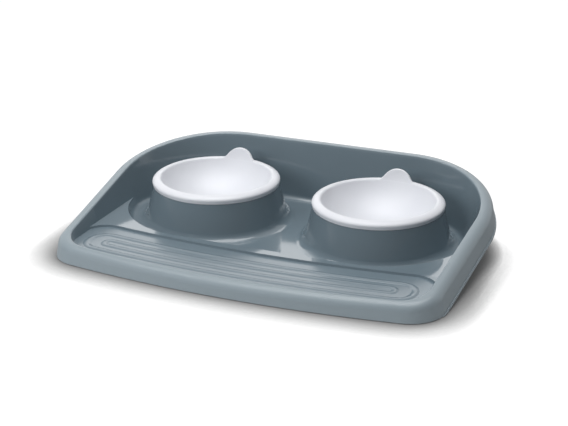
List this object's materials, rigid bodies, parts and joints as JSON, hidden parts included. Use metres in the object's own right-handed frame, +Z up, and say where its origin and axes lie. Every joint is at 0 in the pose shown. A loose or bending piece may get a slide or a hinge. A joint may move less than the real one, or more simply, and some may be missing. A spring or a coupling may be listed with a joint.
{
  "type": "double pet bowl",
  "caption": "Low tray with a sloping rolled rim, pedestals in a basin, a ribbed front trough and lift-out round bowls with finger tabs, for feeding a small pet.",
  "frame": {"origin": "on the ground under the middle of the tray's outline", "axes": "+Z up, +Y towards the high back wall, +X towards the right-hand bowl seen from the low front"},
  "size_m": [0.4054, 0.2796, 0.0641],
  "materials": {
    "tray_plastic": "glossy slate grey moulding, satin on the rim",
    "bowl_plastic": "satin white",
    "foot_rubber": "matt"
  },
  "bodies": {
    "tray": {"tray": "tray_plastic", "foot_front_left": "foot_rubber", "foot_front_right": "foot_rubber", "foot_back_left": "foot_rubber", "foot_back_right": "foot_rubber"},
    "bowl_left": {"bowl_left": "bowl_plastic"},
    "bowl_right": {"bowl_right": "bowl_plastic"}
  },
  "joints": [
    {"name": "bowl_left_lift", "type": "slide", "parent": "tray", "child": "bowl_left", "axis": [0, 0, 1], "range_m": [0, 0.1]},
    {"name": "bowl_right_lift", "type": "slide", "parent": "tray", "child": "bowl_right", "axis": [0, 0, 1], "range_m": [0, 0.1]}
  ]
}
